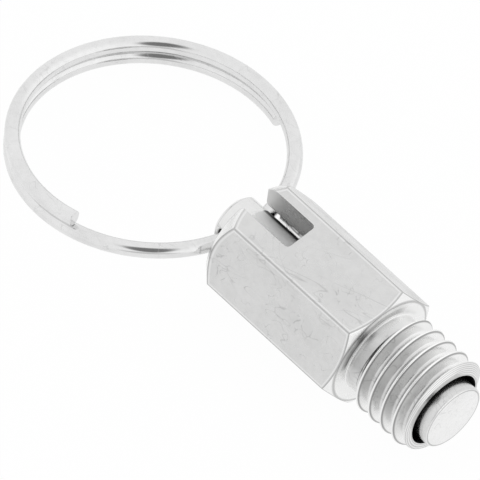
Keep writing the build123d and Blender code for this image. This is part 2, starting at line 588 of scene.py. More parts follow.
class BodyMarks(ShapeMarks):
    """The marks on the hexagon body: painted dark lines and highlight strips along the edges, the milled slot
    with painted shade in it, painted shade in the bores and on the neck and seat, paler turned zones with a
    painted reflection, and turned lines.

    A range is where a mask leaves 0 and where it is full, or those two and what it is at each; a band is a
    range up, a range down and what the mask is between them.
    """

    FACING = (-0.6, 0.8)                    # across and up; the painted reflection on the turned zones fades out towards it
    SEAT_FADE = (0.2, 0.45)                 # the seat's painted shade fades in towards it
    TURNED_FADE = (0.3, 0.85, 1.0, 0.0)
    # The painted shade on the neck, the seat and its corner lies on the upper left.
    UPPER = (1.3, 2.0)
    LEFT_FADE = (-2.1, -1.2, 1.0, 0.15)
    EDGE_LINE = (0.03, 0.1, 1.0, 0.0)       # painted dark line along the edges, by the distance from an edge
    # A painted highlight strip beside each painted edge line.
    EDGE_HIGHLIGHT = ((0.08, 0.15), (0.18, 0.27))
    FADED_TOP = (4.6, 5.2, 0.0, 0.65)       # where the painted line on the upper flat's rear edge is weak
    FADED_REAR = (1.2, 1.6, 1.0, 0.0)
    FADED_FROM = -3.05
    OFF_FLAT = (0.02, 0.06)
    SHOULDER_FRONT = 0.05
    CREST_STEP = 0.06
    # Painted shade on the thread's flanks just under the crests.
    CREST_SHADE = ((0.04, 0.08), (0.15, 0.25))
    THREAD_FROM = 1.5
    TURN_WIDTH = 0.23                       # one turned line on the nose's end
    TURN_SHAPE = (-0.2, 0.9, 0.2, 1.0)
    MILLED_EDGE = (0.01, 0.05, 1.0, 0.0)
    MILLED_PAST = 0.03                      # past the slot's floor
    MILLED_UNDER = 0.06                     # under the flats
    MILLED_REAR = (0.0, 2.5, 0.45, 1.0)     # the slot's painted shade is lighter at the rear end, by the opening
    # Painted shade on the neck, on the seat and in the seat's corner.
    NECK_BAND = ((0.3, 0.45), (1.3, 1.5), 0.65)
    SEAT_BAND = ((0.22, 0.32), (0.8, 1.0), 0.8)
    CORNER_SHADE = ((0.24, 0.34), (0.45, 0.7), 0.6)
    SEAT_REACH = 0.1
    # Where the painted shade in narrow gaps is eased, on the seat and the neck.
    CALM_FROM = -0.05
    CALM_END = (1.0, 1.35, 1.0, 0.0)
    GUIDE = -9.0                            # the pocket is behind this place
    POCKET_STEP = 0.02 * MM
    BORE_EDGE = (0.0, 0.05, 1.0, 0.0)
    # A blotchy painted shadow low in the deep part of the pocket.
    DEEP_FROM = -10.0
    DEEP_HEIGHT = (-0.86, -0.74)
    BLOTCHES = (0.42, 0.6, 0.95, 0.45)

    def __init__(self, bolt: "HexBody") -> None:
        """Build the whole group.

        Args:
            bolt: The body whose shape the marks follow.
        """
        lengths = {
            "Flat": bolt.across_flats / 2, "Length": bolt.length, "Neck Radius": bolt.neck_radius,
            "Front Radius": bolt.front_face_radius, "Rear Radius": bolt.rear_face_radius,
            "Bore Radius": bolt.mouth_radius, "Pocket Radius": bolt.pocket_radius + self.POCKET_STEP,
            "Slot Floor": bolt.slot_depth - bolt.length, "Slot Half": bolt.slot_width / 2,
            "End": bolt.nose_length - bolt.thread_end, "Crest": bolt.thread_radius,
        }
        angles = {
            "Front Slope": math.tan(math.radians(bolt.front_angle)),
            "Rear Slope": math.tan(math.radians(bolt.rear_angle)), "Slot Turn": math.radians(bolt.slot_turn),
        }
        super().__init__(
            "BodyMarks", {name: size / MM for name, size in lengths.items()} | angles,
            ("Turned", "Line", "Highlight", "Slot", "Pocket", "Dark", "Rings", "Crests", "Calm"),
        )
        self.from_rear = self.x + self.given["Length"]
        across, up = self.FACING
        self.facing = (self.z * up + self.y * across) / self.radius
        self.upper = self.graph.fit(self.z, *self.UPPER)
        self.upper_left = self.upper * self.graph.fit(self.y, *self.LEFT_FADE)
        self.near_seat = abs(self.x) < self.SEAT_REACH
        self.out_of_neck = self.radius - self.given["Neck Radius"]
        self.hexagon()
        self.slot_and_neck()
        self.bores()
        self.thread()

    def hexagon(self) -> None:
        """Mark the painted dark lines along the edges, the painted highlight strips beside them and the paler
        turned zones off the flats, with a painted reflection on the thread's flanks.
        """
        graph, given, x = self.graph, self.given, self.x
        reach = []
        for turn in (0.0, 60.0, -60.0):
            side, up = math.sin(math.radians(turn)), math.cos(math.radians(turn))
            reach.append(abs(self.y * side + self.z * up))
        most = reach[0] | reach[1] | reach[2]
        second = reach[0] + reach[1] + reach[2] - most - (reach[0] & reach[1] & reach[2])
        self.under_flat = given["Flat"] - most
        away = [self.under_flat, given["Flat"] - second, x, self.from_rear]
        for place, sign, name in ((x, 1.0, "Front"), (self.from_rear, -1.0, "Rear")):
            slope = given[f"{name} Slope"]
            cone = (self.radius - given[f"{name} Radius"]) * sign * slope + place
            away.append(cone / graph.math("SQRT", slope * slope + 1.0))
        nearest, next_one = abs(away[0]), 1.0
        for distance in map(abs, away[1:]):
            next_one = (nearest | distance) & next_one
            nearest = nearest & distance
        on_crest = self.radius > given["Crest"] - self.CREST_STEP
        turned_zone = (x < self.SHOULDER_FRONT) | (x > given["End"]) | on_crest
        # The turned zones are paler metal; on the thread's flanks a painted reflection fades them out where
        # they face one way.
        turned_zone = turned_zone | graph.fit(self.facing, *self.TURNED_FADE)
        self.put("Turned", graph.fit(abs(self.under_flat), *self.OFF_FLAT) * turned_zone)
        # Painted dark lines along the edges, weak on the upper flat's rear edge, with painted highlight
        # strips beside them.
        faded = graph.fit(self.z, *self.FADED_TOP) * graph.fit(self.from_rear, *self.FADED_REAR)
        faded = faded * (self.y > self.FADED_FROM)
        self.put("Line", graph.fit(next_one, *self.EDGE_LINE) * (1.0 - faded))
        self.put("Highlight", graph.band(next_one, *self.EDGE_HIGHLIGHT))

    def slot_and_neck(self) -> None:
        """Mark the milled slot with painted shade in it, the painted shade on the neck and on the seat, and
        where the painted shade in gaps is eased.
        """
        graph, given, lean = self.graph, self.given, self.given["Slot Turn"]
        across = self.y * graph.math("COSINE", lean) - self.z * graph.math("SINE", lean)
        # The milled slot is darker metal with painted shade, lighter towards the rear opening.
        milled = graph.fit(abs(across) - given["Slot Half"], *self.MILLED_EDGE)
        milled = milled * (self.x < given["Slot Floor"] + self.MILLED_PAST)
        milled = milled * graph.fit(self.from_rear, *self.MILLED_REAR, smooth=True)
        # Painted shade on the neck and on the seat, on the upper left.
        neck = graph.band(self.x, *self.NECK_BAND) * self.upper_left
        seat = graph.band(self.out_of_neck, *self.SEAT_BAND) * self.near_seat * self.upper
        seat = seat * graph.fit(self.facing, *self.SEAT_FADE)
        self.put("Slot", milled * (self.under_flat > self.MILLED_UNDER) | neck | seat)
        self.put("Calm", (self.x > self.CALM_FROM) * graph.fit(self.x, *self.CALM_END))

    def bores(self) -> None:
        """Mark the bright pocket, the painted shade in the nose bore and in the seat's corner, and the
        blotchy painted shadow low in the deep part of the pocket.
        """
        graph, given = self.graph, self.given
        ahead = self.x > self.GUIDE
        pocket = graph.fit(self.radius - given["Pocket Radius"], *self.BORE_EDGE)
        self.put("Pocket", pocket * (1.0 - ahead))
        # A blotchy painted shadow low in the deep part of the pocket.
        blotch = graph.fit(graph.noise(given["Vector"], 1500.0, 1.0), *self.BLOTCHES)
        deep = graph.fit(self.z, *self.DEEP_HEIGHT) * (self.x < self.DEEP_FROM) * blotch * pocket
        # Painted shade in the nose bore.
        bore = graph.fit(self.radius - given["Bore Radius"], *self.BORE_EDGE) * ahead
        # Painted shade in the seat's corner, on the upper left.
        corner_shade = graph.band(self.out_of_neck, *self.CORNER_SHADE) * self.upper_left * self.near_seat
        self.put("Dark", bore | corner_shade | deep)

    def thread(self) -> None:
        """Mark the turned lines on the nose's end and the painted shade on the flanks just under the thread's
        crests.
        """
        graph, given = self.graph, self.given
        wander = graph.noise(given["Vector"], 260.0, 1.0)
        turns = (self.x - self.radius) / self.TURN_WIDTH + wander
        lines = graph.fit(graph.math("SINE", turns * math.tau), *self.TURN_SHAPE)
        self.put("Rings", lines * (self.x > given["End"]))
        # Painted shade on the flanks just under the crests.
        rolled = graph.band(given["Crest"] - self.radius, *self.CREST_SHADE)
        self.put("Crests", rolled * ((self.x > self.THREAD_FROM) * (self.x < given["End"])))


class PlungerMarks(ShapeMarks):
    """The marks on the plunger: painted shade on the head's side, painted dark lines at its rim and the
    tail's chamfer, the tail's dull part with painted shade on its sides, and its darker end.
    """

    # Painted shade on the head's round side and a painted dark line at its rim.
    HEAD_SIDE = (3.15, 3.2, 0.0, 0.37)
    HEAD_RIM = ((2.97, 3.01), (3.11, 3.15), 0.7)
    HEAD_FACE = 9.3
    TAIL = (-16.8, -1.0)
    # Painted shade along the tail's sides, where they face the ears.
    TAIL_SIDE = (1.5, 1.75, 0.0, 0.95)
    CHAMFER_LINE = -18.68                   # where the tail's end chamfer starts; a painted dark line runs there
    LINE_WIDTH = (0.04, 0.08, 0.4, 0.0)
    END_SHARE = 0.2

    def __init__(self) -> None:
        """Build the whole group."""
        super().__init__("PlungerMarks", {}, ("Head", "Lines", "Side", "Tail"))
        graph, x = self.graph, self.x
        rear, front = self.TAIL
        tail = (x > rear) * (x < front)
        self.put("Tail", tail)
        # Painted shade along the tail's sides.
        self.put("Side", tail * graph.fit(abs(self.y), *self.TAIL_SIDE))
        # Painted shade on the head's round side.
        self.put("Head", graph.fit(self.radius, *self.HEAD_SIDE) * (1.0 - tail))
        # Painted dark lines at the head's rim and the tail's chamfer; the tail's end outside the body is
        # darker.
        rim = graph.band(self.radius, *self.HEAD_RIM) * (x > self.HEAD_FACE)
        step = graph.fit(abs(x - self.CHAMFER_LINE), *self.LINE_WIDTH)
        self.put("Lines", rim | step | (x < rear) * self.END_SHARE)


@dataclass(frozen=True)
class Mark:
    """What a mask of a piece's marks turns the base colour into."""

    mask: str
    share: float
    factor: float = 0.0                     # of the finish's own colour
    grey: float = 0.0                       # on top of that


DARKER = 0.45                               # what scratches, turned lines and the painted dark edges, lines and shade leave of the colour
# The colour of the painted shade in narrow gaps.
CREVICE_SHADE = (0.03, 0.03, 0.03, 1.0)
# The edge lines and highlight strips are painted reflection, the crest, slot, neck, seat and bore tones
# painted shade, the turned zones paler metal with a painted reflection; the pocket and the turned rings are
# the metal's own.
BODY_TONES = (
    Mark("Turned", 1.0, 1.3), Mark("Crests", 0.75, 0.3), Mark("Slot", 0.75, 0.47),
    Mark("Pocket", 1.0, grey=0.9), Mark("Highlight", 0.45, grey=0.92), Mark("Line", 0.6, DARKER),
    Mark("Rings", 0.6, DARKER), Mark("Dark", 1.0, grey=0.02),
)
# The plunger's head side and tail sides get painted shade, and its lines are painted dark lines.
PLUNGER_TONES = (Mark("Head", 1.0, DARKER), Mark("Lines", 1.0, DARKER), Mark("Side", 1.0, grey=0.02))


@dataclass(frozen=True)
class Metal:
    """A bare or plated metal finish."""

    name: str
    slot: Finish
    color: tuple[float, float, float]
    shade: tuple[float, float, float]       # what the colour drifts towards in patches
    roughness: float
    rough_drift: float = 0.06
    scratch_share: float = 0.5
    crinkle_share: float = 0.0
    # A painted dark line along the edges, standing in for their reflection.
    edge_share: float = 0.0
    edge_rounding: float = 0.16 * MM
    marks: str = ""                         # the group of the piece's own marks, if it has one
    tones: tuple[Mark, ...] = ()
    lathe_lines: float = 0.0                # depth of the turned lines, 0 for none
    crevice_share: float = 0.0              # how dark the painted shade in narrow gaps is
    crevice_reach: float = 0.9 * MM
    crevice_calm: float = 0.8               # how much of that goes where the marks say Calm
    pocket_polish: float = 0.65             # how much of the roughness goes in the pocket
    tail_rough: float = 0.4                 # how much rougher the guided tail is
    tail_dull: float = 0.85                 # how much less metallic it is
    mark_rough: float = 0.2                 # how much rougher the scratches are
    grain_height: float = 0.05

    def times(self, factor: float, grey: float = 0.0) -> tuple[float, ...]:
        """Return the finish's colour times a factor, with a grey added."""
        return (*(factor * part + grey for part in self.color), 1.0)

    def surface_marks(self, graph: Graph, place: Term, groups: dict[str, bpy.types.NodeTree]) -> Term:
        """Return the mask of scratches and handling marks.

        Args:
            graph: The material's graph.
            place: Where on the piece the point lies.
            groups: The shared groups by name.

        Returns:
            The mask.
        """
        marks = graph.group(groups["scratches"], {"Vector": place, "Share": self.scratch_share})["Mask"]
        if self.crinkle_share:
            marks = marks | graph.group(groups["crinkles"], {"Vector": place})["Mask"] * self.crinkle_share
        return marks

    def dark_edges(self, graph: Graph, tone: Term, groups: dict[str, bpy.types.NodeTree]) -> Term:
        """Return the colour with a painted dark line along its edges, standing in for their reflection.

        Args:
            graph: The material's graph.
            tone: The colour so far.
            groups: The shared groups by name.

        Returns:
            The new colour.
        """
        dark_edge = graph.group(groups["edges"], {
            "Rounded": graph.out("ShaderNodeBevel", {"Radius": self.edge_rounding}, samples=6),
            "True": graph.out("ShaderNodeNewGeometry", output="Normal"),
        })
        return graph.mix(dark_edge["Mask"] * self.edge_share, tone, self.times(DARKER))

    def crevice_shade(self, graph: Graph, tone: Term, masks: dict[str, Term]) -> Term:
        """Return the colour with painted shade in its narrow gaps, which an ambient occlusion node finds.

        Args:
            graph: The material's graph.
            tone: The colour so far.
            masks: The piece's own marks.

        Returns:
            The new colour.
        """
        reach = {"Distance": self.crevice_reach}
        nearby = graph.out("ShaderNodeAmbientOcclusion", reach, "AO", samples=8)
        crevice = graph.fit(nearby, 0.05, 0.45, self.crevice_share, 0.0, smooth=True)
        if "Calm" in masks:
            crevice = crevice * (1.0 - masks["Calm"] * self.crevice_calm)
        return graph.mix(crevice, tone, CREVICE_SHADE)

    def bump(self, graph: Graph, place: Term, specks: Term, marks: Term) -> Term:
        """Return the normal with the grain, the scratches and the turned lines.

        Args:
            graph: The material's graph.
            place: Where on the piece the point lies.
            specks: The fine noise.
            marks: The mask of scratches and handling marks.

        Returns:
            The normal.
        """
        height = specks * self.grain_height - marks
        if self.lathe_lines:
            x, y, z = graph.split(place)
            fine = graph.noise(graph.join(x, graph.hypot(y, z), 0.0), 9000.0, 1.0)
            height = height + fine * self.lathe_lines
        return graph.out("ShaderNodeBump", {"Strength": 0.35, "Distance": 0.02 * MM, "Height": height})

    def build(self, groups: dict[str, bpy.types.NodeTree]) -> bpy.types.Material:
        """Build the material.

        Args:
            groups: The shared groups by name.

        Returns:
            The material.
        """
        material = bpy.data.materials.new(self.name)
        material.use_nodes = True
        material.node_tree.nodes.clear()
        graph = Graph(material.node_tree)
        place = graph.out("ShaderNodeTexCoord", output="Object")
        clouds = graph.noise(place, 240.0, 4.0)
        specks = graph.noise(place, 1900.0, 3.0)
        drift = (graph.fit(clouds, 0.35, 0.7, 0.0, 0.55), graph.fit(specks, 0.4, 0.75, 0.0, 0.45))
        tone = graph.mix(graph.math("ADD", *drift, clamp=True), (*self.color, 1.0), (*self.shade, 1.0))
        marks = self.surface_marks(graph, place, groups)
        tone = graph.mix(marks, tone, self.times(DARKER))
        if self.edge_share:
            tone = self.dark_edges(graph, tone, groups)
        masks = graph.group(groups[self.marks], {"Vector": place}) if self.marks else {}
        for mark in self.tones:
            tone = graph.mix(masks[mark.mask] * mark.share, tone, self.times(mark.factor, mark.grey))
        if self.crevice_share:
            tone = self.crevice_shade(graph, tone, masks)
        low, high = self.roughness - self.rough_drift, self.roughness + self.rough_drift
        rough = graph.fit(clouds, 0.3, 0.7, low, high)
        rough = graph.math("ADD", rough, marks * self.mark_rough, clamp=True)
        metallic = 1.0
        if "Tail" in masks:
            rough = graph.math("ADD", masks["Tail"] * self.tail_rough, rough, clamp=True)
            metallic = 1.0 - masks["Tail"] * self.tail_dull
        if "Pocket" in masks:
            rough = rough * (1.0 - masks["Pocket"] * self.pocket_polish)
        surface = graph.add("ShaderNodeBsdfPrincipled", {
            "Base Color": tone, "Metallic": metallic, "Roughness": rough,
            "Normal": self.bump(graph, place, specks, marks),
        })
        graph.add("ShaderNodeOutputMaterial", {"Surface": surface.outputs[0]})
        return material


PLATING = Metal(
    "satin_plating", Finish.PLATED, (0.695, 0.695, 0.692), (0.63, 0.63, 0.627), 0.27,
    scratch_share=0.4, crinkle_share=0.5, edge_share=0.3, marks="body", tones=BODY_TONES, crevice_share=0.85,
)
TURNING = Metal(
    "bright_turning", Finish.TURNED, (0.90, 0.90, 0.897), (0.83, 0.83, 0.827), 0.2,
    scratch_share=0.3, edge_share=0.5, marks="plunger", tones=PLUNGER_TONES, lathe_lines=0.5,
    crevice_share=0.75, crevice_reach=0.5 * MM,
)
POLISH = Metal(
    "polished_wire", Finish.RING, (0.79, 0.79, 0.79), (0.70, 0.70, 0.70), 0.13,
    rough_drift=0.04, scratch_share=0.25, crevice_share=0.8, crevice_reach=0.22 * MM, grain_height=0.02,
)
DRAWN = Metal(
    "drawn_wire", Finish.SPRING, (0.5, 0.5, 0.5), (0.38, 0.38, 0.38), 0.35, scratch_share=0.4,
)


# ------------------------------------------------------------------------------------------ sub-assemblies

PAST = 1.0 * MM                             # how far a cutter or a joined end reaches past the surface
SKIN = 0.02 * MM                            # how far outside a surface a cutter's rounding ends
FLARED = 1.9                                # how wide a cutter opens there, in roundings


@dataclass
class HexBody:
    """The hexagon body with its ears, slot, stepped bore, relief neck and threaded nose."""

    across_flats: float = 11.1 * MM
    length: float = 16.8 * MM
    front_angle: float = 30.0
    front_face_radius: float = 5.5 * MM
    rear_angle: float = 50.0
    rear_face_radius: float = 5.2 * MM
    corner_rounding: float = 0.16 * MM
    rim_rounding: float = 0.14 * MM
    core_radius: float = 3.0 * MM
    thread_radius: float = 4.9 * MM
    root_radius: float = 3.98 * MM
    pitch: float = 1.5 * MM
    crest_width: float = 0.12 * MM
    crest_rounding: float = 0.15 * MM
    thread_place: float = -1.5255 * MM      # where the first crest starts, on the +Y side
    thread_turns: float = 7.0               # before its ends are cut off
    thread_steps: float = 40.0              # points along each turn
    neck_radius: float = 4.05 * MM
    neck_length: float = 1.35 * MM
    neck_fillet: float = 0.3 * MM
    thread_start: float = 0.45 * MM
    thread_end: float = 0.5 * MM
    nose_length: float = 8.2 * MM
    bore_radius: float = 3.5 * MM
    mouth_radius: float = 3.76 * MM
    mouth_depth: float = 0.7 * MM
    guide_front: float = -7.25 * MM
    guide_radius: float = 2.56 * MM
    pocket_radius: float = 3.4 * MM
    pocket_floor: float = -9.85 * MM
    pocket_chamfer: float = 0.3 * MM
    slot_width: float = 3.25 * MM
    slot_depth: float = 6.05 * MM
    slot_corner: float = 0.35 * MM
    slot_turn: float = 6.0
    slot_rounding: float = 0.13 * MM
    metal: Metal = PLATING

    def outline(self, fillet_steps: int = 6, flat_steps: int = 18) -> list[Vector]:
        """Return the hexagon's rounded cross-section as points in the YZ plane.

        Args:
            fillet_steps: Segments in each rounded corner.
            flat_steps: Segments along each flat.

        Returns:
            Points in order round the axis.
        """
        reach = (self.across_flats / 2 - self.corner_rounding) / math.cos(math.pi / 6)
        corners = []
        for k in range(6):
            middle = math.radians(60 * k)
            centre = Vector((math.cos(middle), math.sin(middle))) * reach
            arc = []
            for step in range(fillet_steps + 1):
                angle = middle + math.radians(60 * step / fillet_steps - 30)
                arc.append(centre + Vector((math.cos(angle), math.sin(angle))) * self.corner_rounding)
            corners.append(arc)
        points = []
        for k, arc in enumerate(corners):
            points += arc
            start, end = arc[-1], corners[(k + 1) % 6][0]
            points += [start.lerp(end, step / flat_steps) for step in range(1, flat_steps)]
        return points

    def hexagon(self) -> bpy.types.Object:
        """Build the hexagon bar with both ends chamfered and its edges rounded.

        Returns:
            The closed solid.
        """
        columns = []
        for point in self.outline():
            radius, way = point.length, point.normalized()
            front = (radius - self.front_face_radius) * math.tan(math.radians(self.front_angle))
            rear = (radius - self.rear_face_radius) * math.tan(math.radians(self.rear_angle))
            side = softened(
                [
                    (0.0, self.core_radius),
                    (0.0, self.front_face_radius),
                    (-front, radius),
                    (rear - self.length, radius),
                    (-self.length, self.rear_face_radius),
                    (-self.length, self.core_radius),
                ],
                [self.rim_rounding] * 4,
            )
            columns.append([Vector((x, r * way.x, r * way.y)) for x, r in side])
        loops = [[column[row] for column in columns] for row in range(len(columns[0]))]
        return stacked("hex_body", loops)

    def thread_outline(self) -> list[Point]:
        """Return one turn's outline as (share of the pitch, share of the depth) points.

        Returns:
            Points from the start of one crest to the start of the next, with the crest's leading edge
            rolled over more than its trailing one.
        """
        depth = self.thread_radius - self.root_radius
        flank = depth * math.tan(math.radians(30))
        root_end = self.pitch - flank
        corners = [
            (-0.1 * MM, depth), (self.crest_width, depth), (self.crest_width + flank, 0.0), (root_end, 0.0),
            (self.pitch, depth), (self.pitch + 0.1 * MM, depth),
        ]
        line = softened(corners, [self.crest_rounding, 0.22 * MM, 0.2 * MM, 0.05 * MM], 5)
        back = [(x - self.pitch, height) for x, height in line if x > self.pitch]
        middle = [(x, height) for x, height in line if 0.0 < x <= self.pitch]
        start = min(height for _, height in back[:1] + [(0.0, depth)])
        whole = [(0.0, start)] + [spot for spot in middle if spot[0] > 1e-6] + [(self.pitch, start)]
        return [(x / self.pitch, height / depth) for x, height in whole]

    def thread_tree(self, material: bpy.types.Material) -> bpy.types.NodeTree:
        """Build the Geometry Nodes tree of a closed threaded rod, in millimetres.

        Args:
            material: What the rod is made of.

        Returns:
            The tree.
        """
        group = NamedTree(
            "ThreadedRod", "GeometryNodeTree",
            {"Pitch": 1.5, "Root Radius": 4.0, "Crest Radius": 4.75, "Start": 0.0, "Turns": 5.0,
             "Steps": 24.0, "Material": material},
            {"Mesh": "NodeSocketGeometry"},
        )
        graph, given = group.graph, group.given
        around_count, merge, nudge = 145, 1e-6, 1e-5
        sheet = graph.out("GeometryNodeMeshGrid", {
            "Size X": 1.0, "Size Y": 1.0, "Vertices X": given["Turns"] * given["Steps"] + 1.0,
            "Vertices Y": around_count,
        }, "Mesh")
        x, y, _ = graph.split(graph.out("GeometryNodeInputPosition"))
        along, around = (x + 0.5) * given["Turns"], y + 0.5
        crown = graph.add("ShaderNodeFloatCurve", {"Value": graph.math("FRACT", along + nudge)})
        points = crown.mapping.curves[0].points
        shape = self.thread_outline()
        points[0].location, points[-1].location = shape[0], shape[-1]
        for spot in shape[1:-1]:
            points.new(*spot)
        for point in points:
            point.handle_type = "VECTOR"
        crown.mapping.update()
        depth = given["Crest Radius"] - given["Root Radius"]
        radius = Term(graph, crown.outputs[0]) * depth + given["Root Radius"]
        angle = around * math.tau
        place = graph.join(
            (along + around) * given["Pitch"] + given["Start"],
            radius * graph.math("COSINE", angle), radius * graph.math("SINE", angle),
        )
        bent = graph.out("GeometryNodeSetPosition", {"Geometry": sheet, "Position": place})
        joined = graph.out("GeometryNodeMergeByDistance", {"Geometry": bent, "Distance": merge})
        faces = graph.out("GeometryNodeInputMeshEdgeNeighbors")
        rim = graph.out("FunctionNodeCompare", {"A": faces, "B": 1}, data_type="INT", operation="EQUAL")
        ends = graph.add("GeometryNodeExtrudeMesh", {
            "Mesh": joined, "Selection": rim, "Offset Scale": 0.0,
        }, mode="EDGES")
        x_now, _, _ = graph.split(graph.out("GeometryNodeInputPosition"))
        half_way = (given["Turns"] * 0.5 + 0.5) * given["Pitch"] + given["Start"]
        tip = (given["Turns"] * (x_now > half_way) + 0.5) * given["Pitch"] + given["Start"]
        closed = graph.out("GeometryNodeSetPosition", {
            "Geometry": ends.outputs["Mesh"], "Selection": ends.outputs["Top"],
            "Position": graph.join(tip, 0.0, 0.0),
        })
        group.put_mesh(graph.out("GeometryNodeMergeByDistance", {"Geometry": closed, "Distance": merge}))
        return group.tree

    def nose(self, material: bpy.types.Material) -> bpy.types.Object:
        """Build the relief neck and the threaded nose with its chamfers.

        Args:
            material: What the nose is made of.

        Returns:
            The closed solid.
        """
        rod = grown("nose", self.thread_tree(material), {
            "Pitch": self.pitch / MM, "Root Radius": self.root_radius / MM,
            "Crest Radius": self.thread_radius / MM, "Start": self.thread_place / MM,
            "Turns": self.thread_turns, "Steps": self.thread_steps, "Material": material,
        })
        rod.data.transform(Matrix.Scale(MM, 4))
        inside, hidden = 2.5 * MM, self.neck_length - 0.3 * MM
        chamfered = turned("nose_envelope", softened(
            [
                (hidden, inside),
                (hidden, self.neck_radius - 0.001 * MM),
                (self.neck_length, self.neck_radius),
                (self.neck_length + self.thread_start, self.thread_radius),
                (self.nose_length - self.thread_end, self.thread_radius),
                (self.nose_length, self.thread_radius - self.thread_end),
                (self.nose_length, inside),
            ],
            [0.0, 0.0, 0.03 * MM, 0.03 * MM, 0.05 * MM], 2,
        ))
        combine(rod, chamfered, "INTERSECT")
        fillet = self.neck_fillet
        neck = turned("neck", softened(
            [
                (-PAST, self.core_radius),
                (-PAST, self.neck_radius + fillet),
                (-0.0005 * MM, self.neck_radius + fillet),
                (0.0, self.neck_radius),
                (self.neck_length, self.neck_radius),
                (self.neck_length, self.core_radius),
            ],
            [0.0, 0.0, fillet * 0.9, 0.0], 6,
        ))
        return combine(rod, neck, "UNION")

    def bores(self) -> bpy.types.Object:
        """Build what the drill and the reamer take out, along the axis.

        Returns:
            The closed solid.
        """
        return turned("bores", softened(
            [
                (self.nose_length + PAST, self.mouth_radius + PAST),
                (self.nose_length, self.mouth_radius),
                (self.nose_length - self.mouth_depth, self.bore_radius),
                (self.guide_front, self.bore_radius),
                (self.guide_front, self.guide_radius),
                (self.pocket_floor, self.guide_radius),
                (self.pocket_floor, self.pocket_radius),
                (-self.length + self.pocket_chamfer, self.pocket_radius),
                (-self.length, self.pocket_radius + self.pocket_chamfer),
                (-self.length - PAST, self.pocket_radius + 2 * self.pocket_chamfer),
            ],
            [0.06 * MM, 0.1 * MM, 0.0, 0.0, 0.0, 0.0, 0.08 * MM, 0.05 * MM], 3,
        ))

    def flare(self) -> list[Point]:
        """Return the rounding of an edge that the slot breaks, as (left to the surface, opened) points."""
        turns = (math.radians(80 * step / 4) for step in range(5))
        return [(self.slot_rounding * (1 - math.sin(turn)), self.slot_rounding * (1 - math.cos(turn)))
                for turn in turns]

    def slot_outline(self, grow: float) -> list[Point]:
        """Return the slot's outline seen from above, as (x, sideways) points.

        Args:
            grow: How far the outline is pushed outwards.

        Returns:
            The points in order, the same number whatever the growth.
        """
        half = self.slot_width / 2 + grow
        floor = self.slot_depth - self.length + grow
        corner = self.slot_corner + grow
        rear, widest = -self.length, half + self.slot_rounding * FLARED
        side = [(rear - PAST, widest), (rear - SKIN, widest)]
        side += [(rear + left, half + opened) for left, opened in reversed(self.flare())]
        for step in range(9):
            angle = math.radians(90 * step / 8)
            side.append((
                floor - corner + corner * math.sin(angle), half - corner + corner * math.cos(angle),
            ))
        return side + [(x, -across) for x, across in reversed(side)]

    def slot(self) -> bpy.types.Object:
        """Build what the mill takes out between the ears, its edges flared where it breaks the flats.

        Returns:
            The closed solid.
        """
        flat, widest = self.across_flats / 2, self.slot_rounding * FLARED
        half = [(flat - left, opened) for left, opened in self.flare()]
        half += [(flat + SKIN, widest), (flat + PAST, widest)]
        levels = [(-height, grow) for height, grow in reversed(half)] + half
        lean = math.tan(math.radians(self.slot_turn))
        spread = 1 / math.cos(math.radians(self.slot_turn))
        loops = []
        for height, grow in levels:
            loops.append([
                Vector((x, across * spread + height * lean, height)) for x, across in self.slot_outline(grow)
            ])
        return stacked("slot", loops)

    def build(self, materials: dict[Finish, bpy.types.Material]) -> bpy.types.Object:
        """Make the body, dress it and fix it to the housing.

        Args:
            materials: The finished materials.

        Returns:
            The finished piece.
        """
        material = materials[self.metal.slot]
        body = self.hexagon()
        combine(body, self.nose(material), "UNION")
        combine(body, self.bores(), "DIFFERENCE")
        combine(body, self.slot(), "DIFFERENCE")
        return dress(smooth(body, 27.0), material, "housing", "body")


@dataclass
class Plunger:
    """The plunger: the head that locks, the guided tail and the cross hole for the ring."""

    tip: float = 9.4 * MM
    radius: float = 3.25 * MM
    chamfer: float = 0.12 * MM
    chamfer_depth: float = 0.12 * MM
    head_back: float = -0.15 * MM
    head_back_chamfer: float = 0.3 * MM
    tail_radius: float = 2.5 * MM
    tail_end: float = -19.0266 * MM
    tail_end_chamfer: float = 0.35 * MM
    hole_place: float = -17.4266 * MM
    hole_radius: float = 1.0547 * MM
    hole_chamfer: float = 0.25 * MM
    hole_roll: float = 10.8
    metal: Metal = TURNING

    def shaft(self) -> bpy.types.Object:
        """Build the turned shaft.

        Returns:
            The closed solid.
        """
        edge, axis = 0.07 * MM, 0.02 * MM
        return turned("plunger_pin", softened(
            [
                (self.tip, axis),
                (self.tip, self.radius - self.chamfer),
                (self.tip - self.chamfer_depth, self.radius),
                (self.head_back + self.head_back_chamfer, self.radius),
                (self.head_back, self.radius - self.head_back_chamfer),
                (self.head_back, self.tail_radius),
                (self.tail_end + self.tail_end_chamfer, self.tail_radius),
                (self.tail_end, self.tail_radius - self.tail_end_chamfer),
                (self.tail_end, axis),
            ],
            [edge, edge, edge, edge, 0.1 * MM, edge, edge], 3,
        ))

    def hole(self) -> bpy.types.Object:
        """Build what the drill takes out across the tail, countersunk at both ends.

        Returns:
            The closed solid.
        """
        sink = self.tail_radius - self.hole_chamfer
        outside = self.tail_radius + PAST
        wide = self.hole_radius + outside - sink
        drill = turned("hole", softened(
            [(-outside, wide), (-sink, self.hole_radius), (sink, self.hole_radius), (outside, wide)],
            [0.08 * MM, 0.08 * MM], 4,
        ), 64, along="Y")
        roll = Matrix.Rotation(math.radians(-self.hole_roll), 4, "X")
        drill.data.transform(Matrix.Translation((self.hole_place, 0, 0)) @ roll)
        return drill

    def build(self, materials: dict[Finish, bpy.types.Material]) -> bpy.types.Object:
        """Make the plunger, dress it and fix it to its body.

        Args:
            materials: The finished materials.

        Returns:
            The finished piece.
        """
        pin = combine(self.shaft(), self.hole(), "DIFFERENCE")
        return dress(smooth(pin, 30.0), materials[self.metal.slot], "locking_pin", "plunger")


